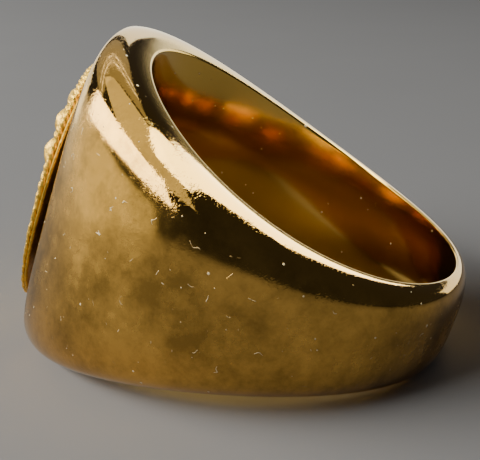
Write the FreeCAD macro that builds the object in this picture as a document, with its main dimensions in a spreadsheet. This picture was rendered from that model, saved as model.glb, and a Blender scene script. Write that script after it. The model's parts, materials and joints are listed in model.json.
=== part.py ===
import FreeCAD, Part
import Sketcher
import math
import os

# Men's signet ring with an applied oval plaque, lying on its side.
#
# Every piece is drawn in the ring's own frame first: the finger axis is the local Z axis,
# the flat face of the head looks along local -X, and the thin base of the shank is at +X.
# The whole ring is then tipped about Y by rest_tilt, the angle at which the wide head and
# the narrow shank both touch the surface below. The origin is the centre of the finger hole.

DRIVING_DIMENSIONS = [
    # alias, value in mm (angles in degrees, exponents plain)
    ("rest_tilt", 17.0),
    ("bore_radius", 9.9),
    ("shank_thickness", 1.3),
    ("head_thickness", 4.35),
    ("swell_power", 0.82),
    ("shank_half_width", 2.9),
    ("head_half_width", 10.2),
    ("flare_power", 1.76),
    ("shank_squareness", 3.1),
    ("head_squareness", 3.5),
    ("face_distance", 12.55),
    ("plaque_half_length", 7.56),
    ("plaque_half_breadth", 5.5),
    ("plaque_squareness", 2.3),
    ("plaque_thickness", 0.22),
    ("plaque_dome_height", 0.6),
    ("plaque_gap", 0.56),
    ("plaque_lean", 1.5),
    ("plaque_shift", -0.3),
    ("border_wire_radius", 0.16),
    ("solder_inset", 2.0),
    ("post_radius", 0.5),
    ("post_spacing", 6.0),
    ("post_depth", 1.5),
    ("post_clearance", 0.05),
]

STATIONS_AROUND_FINGER = 48
POINTS_PER_SECTION = 40
INNER_STOCK = 1.5                        # metal left inside the hole until it is bored, mm
SECTION_END_ANGLE = math.radians(120)    # where the section's ends stop, inside the hole
POINTS_ROUND_PLAQUE = 48

ABOVE_FACE = "(dims.face_distance + dims.plaque_gap)"
SQUARE_TO_PLAQUE = "-90 + dims.plaque_lean"


def new_document():
    doc = FreeCAD.newDocument("signet_ring")
    sheet = doc.addObject("Spreadsheet::Sheet", "dims")
    for row, (alias, value) in enumerate(DRIVING_DIMENSIONS, start=1):
        sheet.set(f"A{row}", alias)
        sheet.set(f"B{row}", str(value))
        sheet.setAlias(f"B{row}", alias)
    doc.recompute()
    return doc, sheet


def bind(feature, sizes):
    """Tie a feature's properties to the spreadsheet."""
    for name, expression in sizes.items():
        feature.setExpression(name, expression)
    return feature


def lay_on_side(feature, outward="0", along="0", turned="0"):
    """Place a piece on the tipped ring.

    outward is its distance from the hole's centre towards the face, along its shift along
    the finger, and turned its own turn in the ring's frame.
    """
    feature.Placement.Rotation = FreeCAD.Rotation(FreeCAD.Vector(0, 1, 0), 10)
    sine = "sin(dims.rest_tilt * 1deg)"
    cosine = "cos(dims.rest_tilt * 1deg)"
    return bind(feature, {
        "Placement.Rotation.Angle": f"(dims.rest_tilt + ({turned})) * 1deg",
        "Placement.Base.x": f"({along}) * {sine} - ({outward}) * {cosine}",
        "Placement.Base.z": f"({along}) * {cosine} + ({outward}) * {sine}",
    })


def lay_on_head(feature):
    """Place a piece of the plaque, drawn with its back on XY, on the plaque's leaning back."""
    return lay_on_side(feature, ABOVE_FACE, "dims.plaque_shift", SQUARE_TO_PLAQUE)


# ---- ring body ---------------------------------------------------------------------------

def signed_power(value, power):
    return math.copysign(abs(value) ** power, value)


def section_point(sheet, theta, phi):
    """A point of the ring's outer form.

    theta turns about the finger, from 0 at the shank's base to pi at the head. phi turns
    round the cross section, which is a squared-off ellipse that grows towards the head.
    """
    headward = (1 - math.cos(theta)) / 2
    growth = sheet.head_thickness - sheet.shank_thickness
    thickness = sheet.shank_thickness + growth * headward ** sheet.swell_power
    squareness = sheet.shank_squareness
    squareness += (sheet.head_squareness - sheet.shank_squareness) * headward
    depth = thickness if math.cos(phi) >= 0 else INNER_STOCK
    rho = sheet.bore_radius + depth * signed_power(math.cos(phi), 2 / squareness)
    x = rho * math.cos(theta)
    base_x = sheet.bore_radius + sheet.shank_thickness
    along = min(max((base_x - x) / (base_x + sheet.face_distance), 0), 1)
    half_width = sheet.shank_half_width
    half_width += (sheet.head_half_width - sheet.shank_half_width) * along ** sheet.flare_power
    z = half_width * signed_power(math.sin(phi), 2 / squareness)
    return FreeCAD.Vector(x, rho * math.sin(theta), z)


def ring_blank(doc, sheet):
    """The cast blank: one smooth form swept round the finger by the section's rule.

    The section is left open towards the finger, where a plain ruled wall closes it.
    """
    poles = []
    for station in range(STATIONS_AROUND_FINGER):
        theta = 2 * math.pi * station / STATIONS_AROUND_FINGER
        section = []
        for point in range(POINTS_PER_SECTION):
            turned = 2 * point / (POINTS_PER_SECTION - 1) - 1
            section.append(section_point(sheet, theta, turned * SECTION_END_ANGLE))
        poles.append(section)
    spans = POINTS_PER_SECTION - 3
    outer = Part.BSplineSurface()
    outer.buildFromPolesMultsKnots(
        poles,
        [1] * (STATIONS_AROUND_FINGER + 1),
        [4] + [1] * (spans - 1) + [4],
        list(range(STATIONS_AROUND_FINGER + 1)),
        list(range(spans + 1)),
        True, False, 3, 3)
    rims = [outer.vIso(knot).toShape() for knot in (0, spans)]
    wall = Part.makeRuledSurface(*rims)
    shell = Part.Shell([outer.toShape(), wall])
    shell.sewShape()
    solid = Part.Solid(shell)
    if solid.Volume < 0:
        solid.reverse()
    blank = doc.addObject("Part::Feature", "cast_blank")
    blank.Shape = solid
    return blank


def finger_bore(doc):
    return bind(doc.addObject("Part::Cylinder", "finger_bore"), {
        "Radius": "dims.bore_radius",
        "Height": "4 * dims.head_half_width",
        "Placement.Base.z": "-2 * dims.head_half_width",
    })


def face_cutter(doc):
    """The block that planes the head off flat, beyond face_distance from the hole's centre."""
    return bind(doc.addObject("Part::Box", "face_cutter"), {
        "Length": "2 * dims.head_thickness",
        "Width": "4 * dims.head_half_width",
        "Height": "4 * dims.head_half_width",
        "Placement.Base.x": "-dims.face_distance - 2 * dims.head_thickness",
        "Placement.Base.y": "-2 * dims.head_half_width",
        "Placement.Base.z": "-2 * dims.head_half_width",
    })


def post_rod(doc, name, side, radius, inner_end, outer_end):
    """A round rod square to the face, half of post_spacing along the finger axis."""
    rod = doc.addObject("Part::Cylinder", name)
    rod.Placement.Rotation = FreeCAD.Rotation(FreeCAD.Vector(0, 1, 0), -90)
    return bind(rod, {
        "Radius": radius,
        "Height": f"({outer_end}) - ({inner_end})",
        "Placement.Base.x": f"-({inner_end})",
        "Placement.Base.z": f"{side} * dims.post_spacing / 2 + dims.plaque_shift",
    })


def cut(doc, name, base, tool):
    feature = doc.addObject("Part::Cut", name)
    feature.Base = base
    feature.Tool = tool
    return feature


def fuse(doc, name, shapes):
    feature = doc.addObject("Part::MultiFuse", name)
    feature.Shapes = shapes
    return feature


def ring_body(doc, sheet):
    bored = cut(doc, "bored_blank", ring_blank(doc, sheet), finger_bore(doc))
    planed = cut(doc, "planed_blank", bored, face_cutter(doc))
    sockets = [
        post_rod(doc, f"post_socket_{number}", side,
                 "dims.post_radius + dims.post_clearance",
                 "dims.face_distance - dims.post_depth",
                 "dims.face_distance + 1")
        for number, side in enumerate((-1, 1), start=1)
    ]
    body = cut(doc, "ring_body", planed, fuse(doc, "post_sockets", sockets))
    return lay_on_side(body)


# ---- plaque and what holds it --------------------------------------------------------------

def cushion_outline(doc, sheet, name, inset, height):
    """A closed line inside the plaque's edge by inset: an oval a little squarer than an ellipse."""
    half_length = sheet.plaque_half_length - inset
    half_breadth = sheet.plaque_half_breadth - inset
    power = 2 / sheet.plaque_squareness
    points = []
    for step in range(POINTS_ROUND_PLAQUE):
        turn = 2 * math.pi * step / POINTS_ROUND_PLAQUE
        x = half_length * signed_power(math.cos(turn), power)
        y = half_breadth * signed_power(math.sin(turn), power)
        points.append(FreeCAD.Vector(x, y, height))
    curve = Part.BSplineCurve()
    curve.interpolate(Points=points, PeriodicFlag=True)
    outline = doc.addObject("Part::Feature", name)
    outline.Shape = Part.Wire(curve.toShape())
    return outline


def plaque(doc, sheet):
    """The stamped oval: a thin plate with a low dome that leaves a ledge for the border."""
    plate = doc.addObject("Part::Extrusion", "plaque_plate")
    plate.Base = cushion_outline(doc, sheet, "plaque_outline", 0, 0)
    plate.Dir = FreeCAD.Vector(0, 0, 1)
    plate.Solid = True
    bind(plate, {"LengthFwd": "dims.plaque_thickness"})
    dome = doc.addObject("Part::Ellipsoid", "plaque_dome")
    dome.Angle1 = 0
    ledge = "3 * dims.border_wire_radius"
    bind(dome, {
        "Radius1": "dims.plaque_dome_height",
        "Radius2": f"dims.plaque_half_length - {ledge}",
        "Radius3": f"dims.plaque_half_breadth - {ledge}",
        "Placement.Base.z": "dims.plaque_thickness",
    })
    return lay_on_head(fuse(doc, "plaque", [plate, dome]))


def border(doc, sheet):
    """The twisted wire round the plaque's edge, drawn as the plain round it would fill."""
    radius = sheet.border_wire_radius
    path = cushion_outline(doc, sheet, "border_path", radius, sheet.plaque_thickness + radius)
    section = doc.addObject("Part::Circle", "border_section")
    section.Placement.Rotation = FreeCAD.Rotation(FreeCAD.Vector(1, 0, 0), 90)
    bind(section, {
        "Radius": "dims.border_wire_radius",
        "Placement.Base.x": "dims.plaque_half_length - dims.border_wire_radius",
        "Placement.Base.z": "dims.plaque_thickness + dims.border_wire_radius",
    })
    wire = doc.addObject("Part::Sweep", "border")
    wire.Sections = [section]
    wire.Spine = (path, ["Edge1"])
    wire.Solid = True
    return lay_on_head(wire)


def above_plaque_back(doc, name):
    """A block that fills everything outward of the plaque's leaning back."""
    block = doc.addObject("Part::Box", name)
    block.Placement.Rotation = FreeCAD.Rotation(FreeCAD.Vector(0, 1, 0), -90)
    lean = "(dims.plaque_lean * 1deg)"
    return bind(block, {
        "Length": "4 * dims.plaque_half_length",
        "Width": "4 * dims.plaque_half_breadth",
        "Height": "dims.plaque_half_length",
        "Placement.Rotation.Angle": f"-90deg + {lean}",
        "Placement.Base.x": f"-{ABOVE_FACE} - 2 * dims.plaque_half_length * sin({lean})",
        "Placement.Base.y": "-2 * dims.plaque_half_breadth",
        "Placement.Base.z": f"dims.plaque_shift - 2 * dims.plaque_half_length * cos({lean})",
    })


def post_rods(doc, name):
    """Two rods from the bottoms of the head's sockets out past the plaque's back."""
    rods = [
        post_rod(doc, f"{name}_{number}", side, "dims.post_radius",
                 "dims.face_distance - dims.post_depth + dims.post_clearance",
                 "dims.face_distance + 2 * dims.plaque_gap + 1")
        for number, side in enumerate((-1, 1), start=1)
    ]
    return fuse(doc, name, rods)


def posts(doc):
    """The two pegs that set the plaque on the head, cut off flush with the plaque's back."""
    pegs = cut(doc, "posts", post_rods(doc, "long_post"), above_plaque_back(doc, "post_trim"))
    return lay_on_side(pegs)


def origin_plane(body, role):
    return [plane for plane in body.Origin.OriginFeatures if plane.Role == role][0]


def sketch_oval(body, name, half_length, half_breadth):
    """A sketch on the body's XY plane of an ellipse with its long axis along X."""
    sketch = body.newObject("Sketcher::SketchObject", name)
    sketch.AttachmentSupport = [(origin_plane(body, "XY_Plane"), "")]
    sketch.MapMode = "FlatFace"
    oval = sketch.addGeometry(Part.Ellipse(FreeCAD.Vector(0, 0, 0), 8, 4))
    sketch.exposeInternalGeometry(oval)
    major, minor = oval + 1, oval + 2
    centre = 3
    sketch.addConstraint(Sketcher.Constraint("Coincident", oval, centre, -1, 1))
    sketch.addConstraint(Sketcher.Constraint("Horizontal", major))
    length = sketch.addConstraint(Sketcher.Constraint("Distance", major, 16))
    breadth = sketch.addConstraint(Sketcher.Constraint("Distance", minor, 8))
    return bind(sketch, {
        f"Constraints[{length}]": f"2 * ({half_length})",
        f"Constraints[{breadth}]": f"2 * ({half_breadth})",
    })


def solder_bed(doc):
    """The wedge of solder between the head's face and the leaning plaque, round the posts."""
    pool = doc.addObject("PartDesign::Body", "solder_pool")
    pad = pool.newObject("PartDesign::Pad", "solder_pool_pad")
    pad.Profile = sketch_oval(pool, "solder_pool_outline",
                              "dims.plaque_half_length - dims.solder_inset",
                              "dims.plaque_half_breadth - dims.solder_inset")
    bind(pad, {"Length": "3 * dims.plaque_gap"})
    pool.Placement.Rotation = FreeCAD.Rotation(FreeCAD.Vector(0, 1, 0), -90)
    bind(pool, {
        "Placement.Base.x": "-dims.face_distance",
        "Placement.Base.z": "dims.plaque_shift",
    })
    trimmed = cut(doc, "trimmed_pool", pool, above_plaque_back(doc, "pool_trim"))
    bed = cut(doc, "solder_bed", trimmed, post_rods(doc, "post_core"))
    return lay_on_side(bed)


# ---- checks and export -------------------------------------------------------------------

def check_document(doc):
    for obj in doc.Objects:
        broken = [state for state in obj.State if state in ("Invalid", "Error")]
        if broken:
            raise RuntimeError(f"{obj.Name} failed to compute: {obj.State}")


def check_solid(piece):
    shape = piece.Shape
    if shape.isNull() or not shape.isValid() or not shape.Solids:
        raise RuntimeError(f"{piece.Label} has no valid solid")
    print(f"{piece.Label}: {len(shape.Solids)} solid(s), {shape.Volume:.2f} mm3")


def main():
    doc, sheet = new_document()
    pieces = [ring_body(doc, sheet), plaque(doc, sheet), border(doc, sheet),
              posts(doc), solder_bed(doc)]
    doc.recompute()
    check_document(doc)
    for piece in pieces:
        check_solid(piece)
    os.makedirs("parts", exist_ok=True)
    for piece in pieces:
        piece.Shape.exportStep(f"parts/{piece.Label}.step")


main()
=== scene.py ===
import json
import math

import bpy
from bpy.props import FloatProperty, FloatVectorProperty, IntProperty, PointerProperty
from mathutils import Matrix, Vector

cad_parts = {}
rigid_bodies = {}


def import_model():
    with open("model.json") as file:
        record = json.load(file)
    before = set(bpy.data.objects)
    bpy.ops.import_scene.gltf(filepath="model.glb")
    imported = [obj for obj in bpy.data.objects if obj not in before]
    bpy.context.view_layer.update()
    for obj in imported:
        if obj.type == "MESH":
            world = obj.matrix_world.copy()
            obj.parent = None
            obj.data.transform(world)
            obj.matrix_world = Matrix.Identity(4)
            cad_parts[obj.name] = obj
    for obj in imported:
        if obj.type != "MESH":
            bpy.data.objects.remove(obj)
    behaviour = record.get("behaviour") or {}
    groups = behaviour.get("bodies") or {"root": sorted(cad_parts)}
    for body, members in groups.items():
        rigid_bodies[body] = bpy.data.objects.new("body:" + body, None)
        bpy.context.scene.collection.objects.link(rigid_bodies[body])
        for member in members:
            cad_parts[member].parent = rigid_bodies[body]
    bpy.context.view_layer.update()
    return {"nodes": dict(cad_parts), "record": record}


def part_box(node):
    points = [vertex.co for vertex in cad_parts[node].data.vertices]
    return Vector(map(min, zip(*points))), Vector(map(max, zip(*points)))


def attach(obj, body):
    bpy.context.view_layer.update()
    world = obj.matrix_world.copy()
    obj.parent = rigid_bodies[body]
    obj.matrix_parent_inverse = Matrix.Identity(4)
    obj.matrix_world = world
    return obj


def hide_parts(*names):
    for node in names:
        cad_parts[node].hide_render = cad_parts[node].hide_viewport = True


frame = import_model()

bl_info = {
    "name": "Signet Ring",
    "version": (1, 0, 0),
    "blender": (4, 5, 0),
    "location": "3D View > Sidebar > Signet Ring",
    "description": "Dresses a signet ring with an applied oval plaque and sets its studio",
    "category": "Add Mesh",
}

BODY = "root"
FINGER_HOLE = next(m for m in frame["record"]["mounts"] if m["name"] == "finger_hole")
FINGER_AXIS = Vector(FINGER_HOLE["axis"])
REST_TILT = math.atan2(FINGER_AXIS.x, FINGER_AXIS.z)
BORE_RADIUS = FINGER_HOLE["dims"]["r_mm"] / 1000
FLOOR_CLEARANCE = 0.000015       # the dressed ring reaches a hair below its CAD solid
FLOOR_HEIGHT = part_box("ring_body")[0].z - FLOOR_CLEARANCE
QUARTER_TURN = math.pi / 2


# ---- sizes and colours ---------------------------------------------------------------------

def length(name, default, description):
    """A length setting, in metres."""
    return FloatProperty(name=name, default=default, description=description,
                         unit="LENGTH", subtype="DISTANCE", precision=5)


def ratio(name, default, description):
    return FloatProperty(name=name, default=default, description=description)


def angle(name, default, description):
    return FloatProperty(name=name, default=default, description=description,
                         subtype="ANGLE", unit="ROTATION")


def colour(name, default, description):
    return FloatVectorProperty(name=name, default=default, description=description,
                               subtype="COLOR", size=3, min=0, max=1)


class SignetRingForm(bpy.types.PropertyGroup):
    bore_radius: length("Bore radius", BORE_RADIUS, "Radius of the finger hole")
    shank_thickness: length("Shank thickness", 0.0013, "Metal at the base of the shank")
    head_thickness: length("Head thickness", 0.00435, "Metal at the head before it is planed")
    swell_power: ratio("Swell", 0.82, "How early the shank swells towards the head")
    shank_half_width: length("Shank half width", 0.0029, "Half the shank's width at its base")
    head_half_width: length("Head half width", 0.0102, "Half the head's width along the finger")
    flare_power: ratio("Flare", 1.76, "How hollow the shoulders are in side view")
    shank_squareness: ratio("Shank squareness", 3.1, "2 is an oval section, more is squarer")
    head_squareness: ratio("Head squareness", 3.5, "2 is an oval section, more is squarer")
    face_distance: length("Face distance", 0.01255, "From the hole's centre to the flat face")
    face_edge: length("Face edge", 0.00028, "Width over which the edge of the face is polished")
    rim_rounding: length("Rim rounding", 0.00015, "Rounding of the edge of the finger hole")
    comfort: length("Comfort", 0.00024, "How much wider the finger hole is at its ends")
    columns: IntProperty(name="Columns", default=540, description="Mesh columns round the ring")
    rows: IntProperty(name="Rows", default=180, description="Mesh rows round the section")


class SignetRingPlaque(bpy.types.PropertyGroup):
    half_length: length("Half length", 0.00756, "Half the plaque's length, along the finger")
    half_breadth: length("Half breadth", 0.0055, "Half the plaque's breadth")
    squareness: ratio("Squareness", 2.3, "2 is an ellipse, more is squarer")
    thickness: length("Thickness", 0.00022, "Thickness of the plate")
    dome_height: length("Dome height", 0.0006, "Rise of the dome above the plate")
    gap: length("Gap", 0.00056, "Space between the head's face and the plaque's back")
    lean: angle("Lean", math.radians(1.5), "How far the plaque leans off the face")
    shift: length("Shift", -0.0003, "How far the plaque sits off the middle, along the finger")
    wire_radius: length("Wire radius", 0.00016, "Outer radius of the twisted border")
    wire_wear: ratio("Wire wear", 0.85, "How much thicker the border is at the plaque's upper end")
    twists: IntProperty(name="Twists", default=46, description="Twists of the border's wires")
    steps: IntProperty(name="Steps", default=2400, description="Mesh steps along the border")
    sides: IntProperty(name="Sides", default=28, description="Mesh sides round the border")
    rays: IntProperty(name="Rays", default=16, description="Rays of the sunburst")
    relief: length("Relief", 0.00032, "Height of the sunburst's rays")
    grain: length("Grain", 0.00012, "Height of the pebbled ground and the border's grain")
    columns: IntProperty(name="Columns", default=480, description="Mesh columns round the oval")
    rows: IntProperty(name="Rows", default=170, description="Mesh rows from front to back")


class SignetRingFinish(bpy.types.PropertyGroup):
    # painted shade: this outside gold is darker than the same gold in the finger hole, standing in
    # for darker surroundings reflected in it
    gold: colour("Gold", (0.60, 0.34, 0.075), "The outside, dulled by wear")
    # painted light: the gold in the finger hole is made brighter than the same gold outside
    bore_gold_painted_light: colour("Bore gold", (0.80, 0.50, 0.11), "The finger hole, rubbed bright")
    stamped: colour("Stamped gold", (1.0, 0.62, 0.09), "The plaque's brighter gold")
    dust: colour("Dust", (0.80, 0.66, 0.42), "Specks and lint on the outside")
    # painted shade: the solder in the gap under the plaque is near black, standing in for the
    # shadow there
    solder: colour("Solder", (0.03, 0.02, 0.012), "Fire-stained solder under the plaque")
    floor: colour("Floor", (0.50, 0.50, 0.51), "The studio floor")


# ---- node arithmetic -----------------------------------------------------------------------

def feed(tree, socket, source):
    """Gives a node's input its source: a Value, another node's socket or a plain value."""
    if isinstance(source, Value):
        tree.links.new(source.socket, socket)
    elif isinstance(source, bpy.types.NodeSocket):
        tree.links.new(source, socket)
    else:
        socket.default_value = source


class Value:
    """A number in a node tree. Python arithmetic on it adds the Math nodes that work it out."""

    def __init__(self, tree, socket):
        self.tree = tree
        self.socket = socket

    def math(self, operation, *others):
        node = self.tree.nodes.new("ShaderNodeMath")
        node.operation = operation
        for slot, value in enumerate((self, *others)):
            feed(self.tree, node.inputs[slot], value)
        return Value(self.tree, node.outputs[0])

    def __add__(self, other):
        return self.math("ADD", other)

    def __radd__(self, other):
        return self.math("ADD", other)

    def __sub__(self, other):
        return self.math("SUBTRACT", other)

    def __rsub__(self, other):
        return self.math("MULTIPLY", -1.0).math("ADD", other)

    def __mul__(self, other):
        return self.math("MULTIPLY", other)

    def __rmul__(self, other):
        return self.math("MULTIPLY", other)

    def __truediv__(self, other):
        return self.math("DIVIDE", other)

    def __rtruediv__(self, other):
        return self.math("POWER", -1.0) * other

    def __pow__(self, other):
        return self.math("POWER", other)

    def cos(self):
        return self.math("COSINE")

    def sin(self):
        return self.math("SINE")

    def arccos(self):
        return self.math("ARCCOSINE")

    def abs(self):
        return self.math("ABSOLUTE")

    def sign(self):
        return self.math("SIGN")

    def signed_power(self, power):
        return self.sign() * self.abs() ** power

    def at_least(self, other):
        return self.math("MAXIMUM", other)

    def at_most(self, other):
        return self.math("MINIMUM", other)

    def within_unit(self):
        return self.at_least(0.0).at_most(1.0)

    def part_way(self, start, end):
        """0 at start, 1 at end, and held at 0 and 1 outside them."""
        return ((self - start) / (end - start)).within_unit()

    def ease(self):
        """Turns an even 0 to 1 into one that starts and stops slowly."""
        return self * self * (3.0 - 2.0 * self)

    def rounded_at_least(self, other, width):
        """The larger of the two, with the corner between them rounded over width."""
        return self.math("SMOOTH_MAX", other, width)


WELD_DISTANCE = 2e-7


class Nodes:
    """Short ways to add the nodes that shapes and metals share."""

    def __init__(self, tree):
        self.tree = tree

    def node(self, kind, inputs=None, **properties):
        """Adds a node, sets its properties, then feeds its inputs."""
        node = self.tree.nodes.new(kind)
        for name, value in properties.items():
            setattr(node, name, value)
        for name, source in (inputs or {}).items():
            feed(self.tree, node.inputs[name], source)
        return node

    def split(self, vector):
        node = self.node("ShaderNodeSeparateXYZ", {"Vector": vector})
        return [Value(self.tree, output) for output in node.outputs]

    def noise(self, scale, detail, vector, roughness=0.5):
        """A noise from 0 to 1 with scale repeats in a metre."""
        node = self.node("ShaderNodeTexNoise", {"Vector": vector, "Scale": scale,
                                                "Detail": detail, "Roughness": roughness})
        return Value(self.tree, node.outputs[0])


class ShapeTree(Nodes):
    """A Geometry Nodes tree with named inputs, and short ways to add its nodes."""

    SOCKETS = {"length": "NodeSocketFloat", "number": "NodeSocketFloat",
               "count": "NodeSocketInt", "material": "NodeSocketMaterial"}

    def __init__(self, name, inputs):
        super().__init__(bpy.data.node_groups.new(name, "GeometryNodeTree"))
        sockets = self.tree.interface
        sockets.new_socket("Geometry", in_out="OUTPUT", socket_type="NodeSocketGeometry")
        for label, kind in inputs.items():
            sockets.new_socket(label, in_out="INPUT", socket_type=self.SOCKETS[kind])
        self.input_node = self.tree.nodes.new("NodeGroupInput")
        self.output_node = self.tree.nodes.new("NodeGroupOutput")

    def input(self, label):
        return Value(self.tree, self.input_node.outputs[label])

    def inputs(self, *labels):
        return [self.input(label) for label in labels]

    def grid(self, columns, rows):
        """A flat grid, and its two coordinates from -1 to 1."""
        mesh = self.node("GeometryNodeMeshGrid", {"Vertices X": columns, "Vertices Y": rows,
                                                  "Size X": 2.0, "Size Y": 2.0})
        across, along, _ = self.split(self.node("GeometryNodeInputPosition").outputs[0])
        return mesh.outputs["Mesh"], across, along

    def vector(self, x, y, z):
        return self.node("ShaderNodeCombineXYZ", {"X": x, "Y": y, "Z": z}).outputs[0]

    def place(self, geometry, position):
        node = self.node("GeometryNodeSetPosition",
                         {"Geometry": geometry, "Position": position})
        return node.outputs["Geometry"]

    def keep(self, geometry, name, value, kind="FLOAT", domain="POINT"):
        """Stores a named attribute, which the materials read."""
        node = self.node("GeometryNodeStoreNamedAttribute",
                         {"Geometry": geometry, "Name": name, "Value": value},
                         data_type=kind, domain=domain)
        return node.outputs["Geometry"]

    def finish(self, geometry, flip=False):
        """Closes the tree: seams welded, faces outward, realised, smooth, in its material."""
        mesh = self.node("GeometryNodeMergeByDistance",
                         {"Geometry": geometry, "Distance": WELD_DISTANCE}).outputs[0]
        if flip:
            mesh = self.node("GeometryNodeFlipFaces", {"Mesh": mesh}).outputs[0]
        mesh = self.node("GeometryNodeSetShadeSmooth", {"Geometry": mesh}).outputs[0]
        mesh = self.node("GeometryNodeRealizeInstances", {"Geometry": mesh}).outputs[0]
        material = self.input_node.outputs["Material"]
        mesh = self.node("GeometryNodeSetMaterial", {"Geometry": mesh, "Material": material})
        self.tree.links.new(mesh.outputs[0], self.output_node.inputs["Geometry"])
        return self.tree


def mesh_from_tree(name, tree, values):
    """Runs a tree on an empty object and returns its result as a plain mesh object."""
    carrier = bpy.data.objects.new(f"{name}_carrier", bpy.data.meshes.new(f"{name}_carrier"))
    bpy.context.collection.objects.link(carrier)
    modifier = carrier.modifiers.new(name, "NODES")
    modifier.node_group = tree
    for label, value in values.items():
        modifier[tree.interface.items_tree[label].identifier] = value
    depsgraph = bpy.context.evaluated_depsgraph_get()
    mesh = bpy.data.meshes.new_from_object(carrier.evaluated_get(depsgraph),
                                           preserve_all_data_layers=True, depsgraph=depsgraph)
    if not mesh.polygons:
        raise RuntimeError(f"the tree for {name} made no faces")
    carrier.modifiers.clear()
    bpy.data.objects.remove(carrier)
    mesh.name = name
    piece = bpy.data.objects.new(name, mesh)
    bpy.context.collection.objects.link(piece)
    return piece


def tipped(tree, x, y, z, tilt):
    """Turns a point about Y by tilt, from the ring's own frame to the way it lies."""
    return tree.vector(x * tilt.cos() + z * tilt.sin(), y, z * tilt.cos() - x * tilt.sin())


# ---- ring body -----------------------------------------------------------------------------

RING_INPUTS = {
    "Columns": "count", "Rows": "count", "Tilt": "number",
    "Bore Radius": "length", "Shank Thickness": "length", "Head Thickness": "length",
    "Swell": "number", "Shank Half Width": "length", "Head Half Width": "length",
    "Flare": "number", "Shank Squareness": "number", "Head Squareness": "number",
    "Face Distance": "length", "Face Half Angle": "number", "Face Edge": "length",
    "Rim Rounding": "length", "Comfort": "length", "Material": "material",
}

SMALLEST_COSINE = 0.001  # keeps the face's reach finite beyond the head
HEAD_COLUMNS = 0.5       # share of the columns that cross the flat face
COLUMN_CROWDING = 1.4    # how strongly the other columns crowd towards the face
FACE_ROWS = 0.20         # where each band of rows ends, from the middle of the outside
SIDE_ROWS = 0.68
RIM_ROWS = 0.76          # and the rest line the finger hole
FACE_MARGIN = 0.96       # where the flat face's clean middle ends


def ring_tree():
    """The ring as one rule: a squared oval section that grows from shank to head."""
    shape = ShapeTree("ring_form", RING_INPUTS)
    bore, shank_thick, head_thick, swell = shape.inputs(
        "Bore Radius", "Shank Thickness", "Head Thickness", "Swell")
    shank_half, head_half, flare = shape.inputs("Shank Half Width", "Head Half Width", "Flare")
    shank_square, head_square = shape.inputs("Shank Squareness", "Head Squareness")
    face, face_angle, face_edge = shape.inputs("Face Distance", "Face Half Angle", "Face Edge")
    rounding, comfort, tilt = shape.inputs("Rim Rounding", "Comfort", "Tilt")
    mesh, around, along = shape.grid(shape.input("Columns"), shape.input("Rows"))

    # round the finger: columns crowd towards the two ends of the flat face
    reach = around.abs()
    over_face = (reach / HEAD_COLUMNS).at_most(1.0)
    beyond = reach.part_way(HEAD_COLUMNS, 1.0)
    turn = face_angle * (over_face * QUARTER_TURN).sin()
    turn = turn + (math.pi - face_angle) * beyond ** COLUMN_CROWDING
    theta = around.sign() * turn + math.pi
    headward = (1.0 - theta.cos()) / 2.0
    thick = shank_thick + (head_thick - shank_thick) * headward ** swell
    square = shank_square + (head_square - shank_square) * headward

    # round the section: over the face, down the side, round the rim, through the hole
    row = along.abs()
    across_face = row.part_way(0.0, FACE_ROWS)
    down_side = row.part_way(FACE_ROWS, SIDE_ROWS)
    round_rim = row.part_way(SIDE_ROWS, RIM_ROWS)
    through_hole = row.part_way(RIM_ROWS, 1.0)
    face_reach = face / (-1.0 * theta.cos()).at_least(SMALLEST_COSINE)
    cut_share = ((face_reach - bore) / thick).within_unit()
    cut_angle = (cut_share ** (square / 2.0)).arccos()
    rim_angle = (((rounding + comfort) / thick) ** (square / 2.0)).arccos()
    phi = cut_angle * (across_face * QUARTER_TURN).sin()
    phi = phi + (rim_angle - cut_angle) * down_side.ease()
    rim_turn = (1.0 - round_rim) * QUARTER_TURN
    rho = bore + thick * phi.cos().at_least(0.0) ** (2.0 / square) - rounding * rim_turn.cos()
    outward = ((rho - bore) / thick).within_unit() ** square
    rho = rho - comfort * (1.0 - (1.0 - through_hole) * (1.0 - through_hole))
    x = rho * theta.cos()
    y = rho * theta.sin()
    base = bore + shank_thick
    half = (base - x) / (base + face)
    half = shank_half + (head_half - shank_half) * half.within_unit() ** flare
    height = half * (1.0 - outward).at_least(0.0) ** (1.0 / square)
    height = height - rounding * (1.0 - rim_turn.sin())
    z = along.sign() * height * (1.0 - through_hole)
    x = x.rounded_at_least(-1.0 * face, face_edge)

    pattern = shape.vector(theta * (0.5 / math.pi), along * 0.5 + 0.5, 0.0)
    mesh = shape.keep(mesh, "UVMap", pattern, kind="FLOAT2", domain="CORNER")
    mesh = shape.keep(mesh, "outward", outward)
    off_face = across_face.at_least(over_face).part_way(FACE_MARGIN, 1.0)
    mesh = shape.keep(mesh, "off_face", off_face)
    return shape.finish(shape.place(mesh, tipped(shape, x, y, z, tilt)))


HALVINGS = 60


def face_half_angle(form):
    """The angle from the middle of the head at which the outside meets the flat face."""
    low, high = 0.0, QUARTER_TURN
    for _ in range(HALVINGS):
        middle = (low + high) / 2
        headward = (1 + math.cos(middle)) / 2
        thick = form.shank_thickness
        thick += (form.head_thickness - form.shank_thickness) * headward ** form.swell_power
        if (form.bore_radius + thick) * math.cos(middle) > form.face_distance:
            low = middle
        else:
            high = middle
    return low


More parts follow.
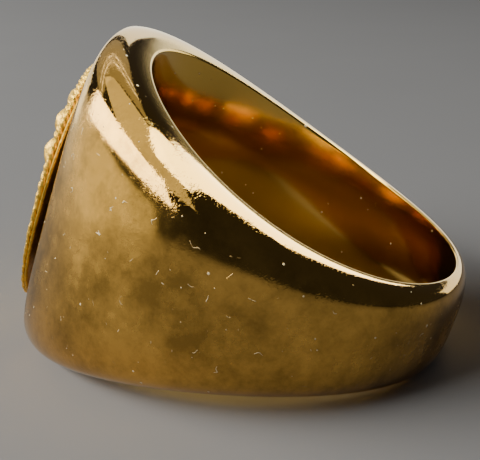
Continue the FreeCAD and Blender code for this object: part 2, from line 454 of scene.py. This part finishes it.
class SIGNETRING_OT_body(bpy.types.Operator):
    """Make the shank, shoulders and head as one polished casting"""
    bl_idname = "signet_ring.body"
    bl_label = "Ring Body"

    def execute(self, context):
        form = context.scene.signet_ring_form
        body = mesh_from_tree("ring_body_polished", ring_tree(), {
            "Columns": form.columns, "Rows": form.rows, "Tilt": REST_TILT,
            "Bore Radius": form.bore_radius, "Shank Thickness": form.shank_thickness,
            "Head Thickness": form.head_thickness, "Swell": form.swell_power,
            "Shank Half Width": form.shank_half_width,
            "Head Half Width": form.head_half_width, "Flare": form.flare_power,
            "Shank Squareness": form.shank_squareness,
            "Head Squareness": form.head_squareness, "Face Distance": form.face_distance,
            "Face Half Angle": face_half_angle(form), "Face Edge": form.face_edge,
            "Rim Rounding": form.rim_rounding, "Comfort": form.comfort,
            "Material": polished_gold(context.scene.signet_ring_finish),
        })
        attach(body, BODY)
        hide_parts("ring_body")
        return {"FINISHED"}


# ---- plaque and border ---------------------------------------------------------------------

PLAQUE_INPUTS = {
    "Columns": "count", "Rows": "count", "Half Length": "length", "Half Breadth": "length",
    "Squareness": "number", "Thickness": "length", "Dome Height": "length",
    "Edge Rounding": "length", "Ledge": "length", "Rays": "number", "Relief": "length",
    "Grain": "length", "Turn": "number", "Outward": "length", "Shift": "length",
    "Tilt": "number", "Material": "material",
}

TOP_ROWS = 0.62          # where the rows of the relief end, from the middle of the front
EDGE_ROWS = 0.78         # and those of the rounded edge; the rest are the flat back
EDGE_START = 0.001       # the share of the edge's rows by which the front has ended
RELIEF_SWELL = 1.3       # how much higher the rays stand on the upper half
SWELL_RISE = (0.05, 0.45)    # where they start to rise and are highest, from the middle up
SWELL_REACH = (0.5, 0.85)    # and how far out from the middle
RAY_BLUNTNESS = 0.7      # 1 is a round ray, less is flatter
RAY_INNER = (0.30, 0.42)     # where the rays rise from the ground, from the middle out
RAY_OUTER = (0.99, 0.90)     # and where they fall back to it at the ledge
BOSS_REACH = 0.26        # the boss's size, as a share of the field's
BOSS_HEIGHT = 1.3        # and its height, as a share of the rays'
FIELD_EDGE = (1.0, 0.9)  # where the pebbled ground fades out
PEBBLES = 2600.0         # pebbles in a metre
GRAIN_DETAIL = 3.0
LEDGE_IN_WIRES = 3       # the ledge's width, in border wire radii


def on_head(shape, x, y, z):
    """Stands a point of the plaque's own frame (long axis X, front +Z) off the head's face."""
    turn, outward, shift, tilt = shape.inputs("Turn", "Outward", "Shift", "Tilt")
    sine, cosine = tilt.sin(), tilt.cos()
    along_x = x * turn.cos() + z * turn.sin() - outward * cosine + shift * sine
    along_z = z * turn.cos() - x * turn.sin() + outward * sine + shift * cosine
    return shape.vector(along_x, y, along_z)


def plaque_tree():
    """An oval plate: sunburst relief on a low dome, a ledge, a rounded edge, a flat back."""
    shape = ShapeTree("plaque_form", PLAQUE_INPUTS)
    half_length, half_breadth, thick, dome = shape.inputs(
        "Half Length", "Half Breadth", "Thickness", "Dome Height")
    edge, ledge, rays, relief, grain = shape.inputs(
        "Edge Rounding", "Ledge", "Rays", "Relief", "Grain")
    mesh, around, along = shape.grid(shape.input("Columns"), shape.input("Rows"))
    psi = around * math.pi
    power = 2.0 / shape.input("Squareness")
    lengthwise = psi.cos().signed_power(power)
    breadthwise = psi.sin().signed_power(power)
    row = (along + 1.0) / 2.0
    over_top = row.part_way(0.0, TOP_ROWS)
    round_edge = row.part_way(TOP_ROWS, EDGE_ROWS)
    under = row.part_way(EDGE_ROWS, 1.0)

    # how far out from the middle, and the height there
    edge_turn = round_edge * math.pi
    inset = edge * (1.0 - edge_turn.sin())
    reach = over_top * (1.0 - under)
    x = (half_length - inset) * reach * lengthwise
    y = (half_breadth - inset) * reach * breadthwise
    rim = (half_breadth - ledge) / half_breadth
    inside = (reach / rim).at_most(1.0)
    on_front = 1.0 - round_edge.part_way(0.0, EDGE_START)
    crown = dome * (1.0 - inside * inside).at_least(0.0) ** 0.5
    field = inside.part_way(*FIELD_EDGE)
    ray = (psi * rays * 0.5).cos().abs() ** RAY_BLUNTNESS
    burst = ray * inside.part_way(*RAY_INNER).ease() * inside.part_way(*RAY_OUTER).ease()
    upper = (x / half_length).part_way(*SWELL_RISE).ease()
    burst = burst * (1.0 + RELIEF_SWELL * upper * inside.part_way(*SWELL_REACH))
    boss = (1.0 - (inside / BOSS_REACH) ** 2.0).at_least(0.0) ** 0.5
    carved = relief * burst + relief * BOSS_HEIGHT * boss
    texture = shape.noise(PEBBLES, GRAIN_DETAIL, shape.vector(x, y, 0.0))
    pebbled = grain * (texture - 0.5) * field
    front = thick + crown + carved + pebbled
    bend = edge_turn.cos() * edge
    back_or_edge = (thick / 2.0) + bend * (thick / 2.0 / edge)
    z = front * on_front + back_or_edge * (1.0 - on_front)

    raised = (carved / (relief * BOSS_HEIGHT)).within_unit() * on_front
    # the stamped gold paints light on this relief height and shade where it is low
    mesh = shape.keep(mesh, "raised", raised)
    return shape.finish(shape.place(mesh, on_head(shape, x, y, z)), flip=True)


BORDER_INPUTS = {
    "Steps": "count", "Sides": "count", "Half Length": "length", "Half Breadth": "length",
    "Squareness": "number", "Thickness": "length", "Wire Radius": "length", "Wear": "number",
    "Twists": "number", "Grain": "length", "Turn": "number", "Outward": "length",
    "Shift": "length", "Tilt": "number", "Material": "material",
}

STRANDS = 2              # wires twisted together in the border
SMALLEST_WIRE = 0.5      # how thin the worn end may get, as a share of the wire's radius
WIRE_CORE = 0.74         # the cord's solid middle, as a share of its radius
WIRE_CROWN = 0.34        # and how far each wire stands out of it
WIRE_BLUNTNESS = 0.8     # 1 is a round wire, less is flatter
WIRE_SEAT = 0.85         # how high the cord's middle sits on the plate, in radii
LUMPS = 2400.0           # lumps in a metre
LUMP_RUN = 0.00012       # how far the lumps change from one side of the cord to the other
LUMP_MIDDLE = 0.45       # the noise's level that leaves the cord as it is
LUMP_STRENGTH = 1.6      # lump height, in grains


def border_tree():
    """A cord of wires twisted together, soldered down round the oval and worn at one end."""
    shape = ShapeTree("border_form", BORDER_INPUTS)
    half_length, half_breadth, thick, wire, grain = shape.inputs(
        "Half Length", "Half Breadth", "Thickness", "Wire Radius", "Grain")
    square = shape.input("Squareness")
    mesh, around, along = shape.grid(shape.input("Steps"), shape.input("Sides"))
    psi = around * math.pi
    side = along * math.pi
    lengthwise = psi.cos().signed_power(2.0 / square)
    breadthwise = psi.sin().signed_power(2.0 / square)

    # unit normal of the oval, in its plane
    nx = lengthwise.signed_power(square - 1.0) / half_length
    ny = breadthwise.signed_power(square - 1.0) / half_breadth
    size = (nx * nx + ny * ny) ** 0.5
    radius = wire * (1.0 + shape.input("Wear") * lengthwise).at_least(SMALLEST_WIRE)
    strand = ((side - psi * shape.input("Twists")) * (STRANDS / 2.0)).cos().abs()
    path_x = (half_length - radius) * lengthwise
    path_y = (half_breadth - radius) * breadthwise
    lumps = shape.noise(LUMPS, GRAIN_DETAIL, shape.vector(path_x, path_y, side * LUMP_RUN))
    lumpy = grain * (lumps - LUMP_MIDDLE) * LUMP_STRENGTH
    out = radius * (WIRE_CORE + WIRE_CROWN * strand ** WIRE_BLUNTNESS) + lumpy
    across = out * side.cos()
    z = thick + radius * WIRE_SEAT + out * side.sin()
    x = path_x + across * nx / size
    y = path_y + across * ny / size
    # the stamped gold paints light on these wire crowns and shade between the wires
    mesh = shape.keep(mesh, "raised", strand)
    return shape.finish(shape.place(mesh, on_head(shape, x, y, z.at_least(thick * 0.5))))


def plaque_placing(scene):
    """The inputs that stand a tree's result off the head's face, for plaque and border."""
    form, plaque = scene.signet_ring_form, scene.signet_ring_plaque
    return {"Turn": REST_TILT - QUARTER_TURN + plaque.lean, "Shift": plaque.shift,
            "Outward": form.face_distance + plaque.gap, "Tilt": REST_TILT,
            "Half Length": plaque.half_length, "Half Breadth": plaque.half_breadth,
            "Squareness": plaque.squareness, "Thickness": plaque.thickness,
            "Grain": plaque.grain}


class SIGNETRING_OT_plaque(bpy.types.Operator):
    """Make the stamped oval plaque with its sunburst"""
    bl_idname = "signet_ring.plaque"
    bl_label = "Plaque"

    def execute(self, context):
        scene = context.scene
        plaque = scene.signet_ring_plaque
        piece = mesh_from_tree("plaque_stamped", plaque_tree(), {
            "Columns": plaque.columns, "Rows": plaque.rows,
            "Dome Height": plaque.dome_height, "Edge Rounding": plaque.thickness / 2,
            "Ledge": LEDGE_IN_WIRES * plaque.wire_radius,
            "Rays": float(plaque.rays), "Relief": plaque.relief,
            "Material": stamped_gold(scene.signet_ring_finish), **plaque_placing(scene),
        })
        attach(piece, BODY)
        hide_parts("plaque")
        return {"FINISHED"}


class SIGNETRING_OT_border(bpy.types.Operator):
    """Make the twisted wire border round the plaque"""
    bl_idname = "signet_ring.border"
    bl_label = "Border"

    def execute(self, context):
        scene = context.scene
        plaque = scene.signet_ring_plaque
        piece = mesh_from_tree("border_twisted", border_tree(), {
            "Steps": plaque.steps, "Sides": plaque.sides, "Wire Radius": plaque.wire_radius,
            "Wear": plaque.wire_wear, "Twists": float(plaque.twists),
            "Material": stamped_gold(scene.signet_ring_finish), **plaque_placing(scene),
        })
        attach(piece, BODY)
        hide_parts("border")
        return {"FINISHED"}


class SIGNETRING_OT_fixings(bpy.types.Operator):
    """Give the solder bed and the posts under the plaque their metals"""
    bl_idname = "signet_ring.fixings"
    bl_label = "Fixings"

    def execute(self, context):
        finish = context.scene.signet_ring_finish
        # the solder bed gets near-black painted shade; the posts get drawn wire
        dress(frame["nodes"]["solder_bed"], fired_solder(finish))
        dress(frame["nodes"]["posts"], post_wire(finish))
        return {"FINISHED"}


def dress(node, material):
    """Puts a material on a CAD node without touching its mesh."""
    for material_slot in node.material_slots:
        material_slot.link = "OBJECT"
        material_slot.material = material


# ---- metals --------------------------------------------------------------------------------

class Metal(Nodes):
    """A material with a Principled shader, and short ways to add its pattern nodes."""

    def __init__(self, name, **uniform):
        self.material = bpy.data.materials.new(name)
        self.material.use_nodes = True
        super().__init__(self.material.node_tree)
        self.shader = self.tree.nodes["Principled BSDF"]
        for socket, value in uniform.items():
            self.shader.inputs[socket].default_value = value

    def place(self):
        """Where the surface is, in metres."""
        return self.node("ShaderNodeTexCoord").outputs["Object"]

    def attribute(self, name):
        node = self.node("ShaderNodeAttribute", attribute_name=name)
        return Value(self.tree, node.outputs["Fac"])

    def stretched(self, x, y, z, turn=0.0):
        """The surface's place, scaled unevenly, for grain that runs one way."""
        node = self.node("ShaderNodeMapping", {"Vector": self.place(), "Scale": (x, y, z),
                                               "Rotation": (0.0, turn, turn)})
        return node.outputs["Vector"]

    def mottle(self, scale, detail=2.0, roughness=0.5):
        """A noise over the surface, with scale repeats in a metre."""
        return self.noise(scale, detail, self.place(), roughness)

    def lines(self, x, y, z, turn=0.0):
        """A noise drawn out into lines."""
        return self.noise(1.0, 2.0, self.stretched(x, y, z, turn))

    def specks(self, spacing, size, share):
        """1 on scattered dots of the given size, one for some of the cells of spacing."""
        cells = self.node("ShaderNodeTexVoronoi", {"Vector": self.place(),
                                                   "Scale": 1.0 / spacing, "Randomness": 1.0})
        distance = Value(self.tree, cells.outputs["Distance"])
        pick, vary, _ = self.split(cells.outputs["Color"])
        radius = size / spacing * (0.4 + 0.6 * vary)
        inside = distance.part_way(radius * 1.15, radius * 0.85)
        return inside * pick.part_way(share + 0.001, share)

    def fibres(self, scale, width, share):
        """1 along short curved threads: stretches of a noise's contour line."""
        contour = (self.mottle(scale, 1.0) - 0.5).abs().part_way(width, width * 0.3)
        kept = self.mottle(scale * 1.7, 0.0).part_way(share - 0.01, share + 0.01)
        return contour * kept

    def blend(self, share, first, second):
        """A colour part of the way from first to second."""
        node = self.node("ShaderNodeMix", data_type="RGBA")
        feed(self.tree, node.inputs["Factor"], share)
        for socket, colour_source in ((node.inputs[6], first), (node.inputs[7], second)):
            is_plain = isinstance(colour_source, tuple)
            feed(self.tree, socket, (*colour_source, 1.0) if is_plain else colour_source)
        return node.outputs[2]

    def drive(self, socket, source):
        feed(self.tree, self.shader.inputs[socket], source)

    def bump(self, height, distance, strength, under=None):
        """A bumped normal; distance is the bump's depth, and under the normal it adds to."""
        inputs = {"Height": height, "Distance": distance, "Strength": strength}
        if under is not None:
            inputs["Normal"] = under
        return self.node("ShaderNodeBump", inputs).outputs["Normal"]


def scaled(rgb, factor):
    return tuple(min(channel * factor, 1.0) for channel in rgb)


# patterns on the polished gold, in repeats per metre
PATINA = 190.0
HAND_WAVES = 240.0       # unevenness left by polishing by hand
DRIFTS = 330.0           # where fine dust gathers
SMEARS = 420.0
THREADS = 1000.0         # lint
CLOUDS = 1500.0          # haze from fine scratches
PITS = 5200.0
FROST = 9000.0

# the polished gold's roughness, and what each kind of wear adds to it
POLISH = 0.035
HOLE_RUB = 0.085
WEAR = 0.15
SMEARING = 0.10
CLOUDING = 0.10
DUSTING = 0.5

# how deep each kind of unevenness is
WAVE_DEPTH = 0.00004
SCRATCH_DEPTH = 0.0000016
PIT_DEPTH = 0.000009
DUST_HEIGHT = 0.00003


def polished_gold(finish):
    """High polish that wear has dulled on the outside, under patina and settled dust; the
    outside's gold is darkened as painted shade and the hole's brightened as painted light.
    """
    metal = Metal("polished_gold", Metallic=1.0)
    gold = tuple(finish.gold)
    outward = metal.attribute("outward")
    in_hole = outward.part_way(0.02, 0.0)
    worn = outward.part_way(0.62, 1.0)
    smear = metal.mottle(SMEARS, 3.0)
    patina = metal.mottle(PATINA, 9.0, roughness=0.74)

    coarse_dust = metal.specks(spacing=0.0013, size=0.00010, share=0.20)
    fine_dust = metal.specks(spacing=0.00055, size=0.00006, share=0.35)
    lint = metal.fibres(THREADS, width=0.008, share=0.73)
    drift = metal.mottle(DRIFTS).part_way(0.36, 0.50)
    settled = (coarse_dust + fine_dust * drift + lint * worn).within_unit()

    toned = metal.blend(patina.part_way(0.38, 0.60), scaled(gold, 0.58), scaled(gold, 1.25))
    toned = metal.blend(outward.part_way(0.15, 0.6), gold, toned)
    # painted light and shade: the hole gets the brighter gold and the outside the darker one
    toned = metal.blend(in_hole, toned, tuple(finish.bore_gold_painted_light))
    metal.drive("Base Color", metal.blend(settled, toned, tuple(finish.dust)))
    metal.drive("Metallic", 1.0 - settled)

    dulled = WEAR + SMEARING * smear.part_way(0.4, 0.7)
    dulled = dulled + CLOUDING * metal.mottle(CLOUDS, 3.0).part_way(0.45, 0.75)
    roughness = POLISH + HOLE_RUB * in_hole + dulled * worn
    metal.drive("Roughness", roughness + DUSTING * settled)

    scratches = metal.lines(500.0, 6000.0, 9000.0, 0.3) * 0.6
    scratches = scratches + metal.lines(7000.0, 6000.0, 600.0, -0.5) * 0.4
    pits = metal.mottle(PITS, 3.0).part_way(0.50, 0.72) * smear.part_way(0.47, 0.62)
    frost = metal.mottle(FROST).part_way(0.55, 0.75) * patina.part_way(0.40, 0.60)
    pits = (pits + 0.5 * frost * outward.part_way(1.0, 0.7)) * metal.attribute("off_face")
    normal = metal.bump(metal.mottle(HAND_WAVES, 1.0), WAVE_DEPTH, 0.5)
    normal = metal.bump(scratches, SCRATCH_DEPTH, 0.6, under=normal)
    normal = metal.bump(pits * outward.part_way(0.0, 0.1), PIT_DEPTH, 0.5, under=normal)
    metal.drive("Normal", metal.bump(settled, DUST_HEIGHT, 0.6, under=normal))
    return metal.material


def stamped_gold(finish):
    """Stamped gold: painted light on the raised relief and the border's wire crowns, painted shade
    in the hollows, over a random grain of tone.
    """
    metal = Metal("stamped_gold", Metallic=1.0)
    gold = tuple(finish.stamped)
    grain = metal.mottle(5200.0, 4.0)
    # painted light on what stands highest and painted shade in the hollows, mixed with a random
    # grain of tone
    relief_light_and_grain = (metal.attribute("raised") * 0.5 + grain * 0.9).part_way(0.30, 0.80)
    metal.drive("Base Color", metal.blend(relief_light_and_grain, scaled(gold, 0.50), gold))
    metal.drive("Roughness", 0.28 + 0.22 * metal.mottle(1300.0).part_way(0.3, 0.7))
    metal.drive("Normal", metal.bump(grain, 0.00006, 0.9))
    return metal.material


def post_wire(finish):
    """Drawn wire, with lines along its length."""
    metal = Metal("post_wire", Metallic=1.0)
    gold = tuple(finish.stamped)
    lines = metal.lines(400.0, 9000.0, 9000.0)
    metal.drive("Base Color", metal.blend(lines, scaled(gold, 0.6), scaled(gold, 0.8)))
    metal.drive("Roughness", 0.35 + 0.15 * lines)
    metal.drive("Normal", metal.bump(lines, 0.00001, 0.6))
    return metal.material


def fired_solder(finish):
    """Lumpy solder, painted near black as the shade in the gap under the plaque."""
    metal = Metal("fired_solder", Metallic=0.6)
    dark = tuple(finish.solder)
    lumps = metal.mottle(1400.0, 4.0)
    metal.drive("Base Color", metal.blend(lumps, scaled(dark, 0.5), scaled(dark, 1.8)))
    metal.drive("Roughness", 0.55 + 0.25 * metal.mottle(2500.0))
    metal.drive("Normal", metal.bump(lumps, 0.00008, 0.7))
    return metal.material


# ---- studio --------------------------------------------------------------------------------

class SignetRingStudio(bpy.types.PropertyGroup):
    azimuth: angle("Azimuth", math.radians(11.32), "Camera's turn from straight along +Y")
    elevation: angle("Elevation", math.radians(16.87), "Camera's height above the horizon")
    roll: angle("Roll", math.radians(0.19), "Camera's roll")
    distance: length("Distance", 0.07066, "From the aimed point to the camera")
    aim_x: length("Aim X", -0.00231, "The aimed point's X")
    aim_z: length("Aim Z", 0.00103, "The aimed point's height above the hole's centre")
    lens: ratio("Lens", 88.3, "Focal length in millimetres")


def studio_camera(settings):
    """A close camera, low on the ring's near side."""
    azimuth, elevation, roll = settings.azimuth, settings.elevation, settings.roll
    back = Vector((math.sin(azimuth) * math.cos(elevation),
                   -math.cos(azimuth) * math.cos(elevation), math.sin(elevation)))
    level = Vector((math.cos(azimuth), math.sin(azimuth), 0.0))
    upright = back.cross(level)
    right = level * math.cos(roll) + upright * math.sin(roll)
    upward = upright * math.cos(roll) - level * math.sin(roll)
    spot = Vector((settings.aim_x, 0.0, settings.aim_z)) + back * settings.distance
    data = bpy.data.cameras.new("studio_camera")
    data.lens = settings.lens
    data.sensor_width = 36.0
    data.clip_start = 0.001
    data.clip_end = 20.0
    camera = bpy.data.objects.new("studio_camera", data)
    axes = Matrix((right, upward, back)).transposed().to_4x4()
    camera.matrix_world = Matrix.Translation(spot) @ axes
    bpy.context.collection.objects.link(camera)
    return camera


def soft_light(name, spot, rotation, width, height, radiance, tint):
    """A rectangular soft light whose surface shows the given brightness in the gold."""
    data = bpy.data.lights.new(name, "AREA")
    data.shape = "RECTANGLE"
    data.size = width
    data.size_y = height
    data.energy = 4.0 * radiance * width * height
    data.color = tint
    light = bpy.data.objects.new(name, data)
    light.location = spot
    light.rotation_euler = rotation
    bpy.context.collection.objects.link(light)
    return light


def window(name, azimuth, distance, sides, heights, radiance, tint):
    """An upright soft light. Azimuth is from -Y towards +X; sides and heights are angles."""
    azimuth = math.radians(azimuth)
    left, right = (distance * math.tan(math.radians(side)) for side in sides)
    low, high = (distance * math.tan(math.radians(height)) for height in heights)
    out = Vector((math.sin(azimuth), -math.cos(azimuth), 0.0))
    across = Vector((math.cos(azimuth), math.sin(azimuth), 0.0))
    spot = out * distance + across * (left + right) / 2 + Vector((0, 0, (low + high) / 2))
    rotation = (-out).to_track_quat("-Z", "Y").to_euler()
    return soft_light(name, spot, rotation, right - left, high - low, radiance, tint)


def skylight(name, start, end, height, width, radiance, tint):
    """A flat soft light overhead, from start to end, which are given at a height of 1."""
    run = (Vector((*end, 0.0)) - Vector((*start, 0.0))) * height
    spot = Vector((*start, 1.0)) * height + run / 2
    rotation = (0.0, 0.0, math.atan2(run.y, run.x))
    return soft_light(name, spot, rotation, run.length, width * height, radiance, tint)


def studio_floor(colour_rgb):
    """A plain pale floor under the ring."""
    mesh = bpy.data.meshes.new("studio_floor")
    signs = ((-1, -1), (1, -1), (1, 1), (-1, 1))
    corners = [(x * FLOOR_REACH, y * FLOOR_REACH, FLOOR_HEIGHT) for x, y in signs]
    mesh.from_pydata(corners, [], [(0, 1, 2, 3)])
    surface = Metal("studio_floor", Metallic=0.0, Roughness=0.8)
    tone = surface.mottle(60.0, 3.0)
    surface.drive("Base Color", surface.blend(tone, scaled(colour_rgb, 0.96), colour_rgb))
    mesh.materials.append(surface.material)
    floor = bpy.data.objects.new("studio_floor", mesh)
    bpy.context.collection.objects.link(floor)
    return floor


def light_only_the_ring(lights):
    """Keeps the lights that shape the gold's highlights off the floor, so its shadow is soft."""
    receivers = bpy.data.collections.new("lit_by_windows")
    for piece in bpy.context.scene.objects:
        if piece.type == "MESH" and piece.name != "studio_floor":
            receivers.objects.link(piece)
    for light in lights:
        light.light_linking.receiver_collection = receivers


def studio_world(brightness):
    world = bpy.data.worlds.new("studio_world")
    world.use_nodes = True
    background = world.node_tree.nodes["Background"]
    background.inputs["Color"].default_value = (0.9, 0.92, 1.0, 1.0)
    background.inputs["Strength"].default_value = brightness
    bpy.context.scene.world = world


FLOOR_REACH = 0.6
WORLD_BRIGHTNESS = 0.045
PLAIN = (1.0, 1.0, 1.0)
OFF_WHITE = (1.0, 0.98, 0.92)
CLEAR = (0.96, 1.0, 0.90)
WARM = (1.0, 0.98, 0.78)

# name, azimuth, distance, sides, heights, radiance, tint
LEFT_WINDOW = ("left_window", -52.0, 0.30, (-58.0, 24.0), (21.0, 41.0), 6.5, OFF_WHITE)
SHAPING_WINDOWS = (
    ("bounce_card", -85.0, 0.16, (-40.0, 42.0), (-2.0, 16.0), 0.8, WARM),
    ("back_window", 180.0, 0.50, (-3.0, 58.0), (2.0, 27.0), 1.7, CLEAR),
    ("low_back_window", 180.0, 0.50, (-45.0, -3.0), (1.0, 16.4), 1.7, CLEAR),
)

# name, start, end, height, width, radiance, tint
SHAPING_SKYLIGHTS = (
    ("ceiling", (-0.75, -1.3), (-0.45, 0.35), 0.32, 1.3, 0.95, WARM),
    ("ceiling_back", (-1.9, 0.95), (0.2, 0.95), 0.33, 1.2, 0.40, WARM),
    ("near_strip", (-0.05, -0.55), (0.62, 0.78), 0.30, 0.38, 7.0, CLEAR),
    ("far_strip", (0.62, 0.62), (0.85, 2.5), 0.30, 0.42, 7.0, CLEAR),
    ("near_tube", (-1.6, 0.47), (0.2, 0.77), 0.31, 0.04, 2.5, PLAIN),
    ("far_tube", (-1.6, 0.65), (0.2, 0.95), 0.31, 0.04, 2.5, PLAIN),
)


class SIGNETRING_OT_studio(bpy.types.Operator):
    """Set the floor, the soft lights and the camera"""
    bl_idname = "signet_ring.studio"
    bl_label = "Studio"

    def execute(self, context):
        scene = context.scene
        studio_floor(tuple(scene.signet_ring_finish.floor))
        studio_world(WORLD_BRIGHTNESS)
        window(*LEFT_WINDOW)
        shaping = [window(*light) for light in SHAPING_WINDOWS]
        shaping += [skylight(*light) for light in SHAPING_SKYLIGHTS]
        light_only_the_ring(shaping)
        scene.camera = studio_camera(scene.signet_ring_studio)
        return {"FINISHED"}


# ---- the add-on ----------------------------------------------------------------------------

OPERATORS = (SIGNETRING_OT_body, SIGNETRING_OT_plaque, SIGNETRING_OT_border,
             SIGNETRING_OT_fixings, SIGNETRING_OT_studio)

SETTINGS = {"signet_ring_form": SignetRingForm, "signet_ring_plaque": SignetRingPlaque,
            "signet_ring_finish": SignetRingFinish, "signet_ring_studio": SignetRingStudio}


class SIGNETRING_PT_panel(bpy.types.Panel):
    """The ring's pieces and settings"""
    bl_idname = "SIGNETRING_PT_panel"
    bl_label = "Signet Ring"
    bl_space_type = "VIEW_3D"
    bl_region_type = "UI"
    bl_category = "Signet Ring"

    def draw(self, context):
        for name, group in SETTINGS.items():
            box = self.layout.box()
            for setting in group.__annotations__:
                box.prop(getattr(context.scene, name), setting)
        for operator in OPERATORS:
            self.layout.operator(operator.bl_idname)


CLASSES = (*SETTINGS.values(), *OPERATORS, SIGNETRING_PT_panel)


def register():
    for cls in CLASSES:
        bpy.utils.register_class(cls)
    for name, group in SETTINGS.items():
        setattr(bpy.types.Scene, name, PointerProperty(type=group))


def unregister():
    for name in SETTINGS:
        delattr(bpy.types.Scene, name)
    for cls in reversed(CLASSES):
        bpy.utils.unregister_class(cls)


def main():
    register()
    bpy.ops.signet_ring.body()
    bpy.ops.signet_ring.plaque()
    bpy.ops.signet_ring.border()
    bpy.ops.signet_ring.fixings()
    bpy.ops.signet_ring.studio()


if __name__ == "__main__":
    main()
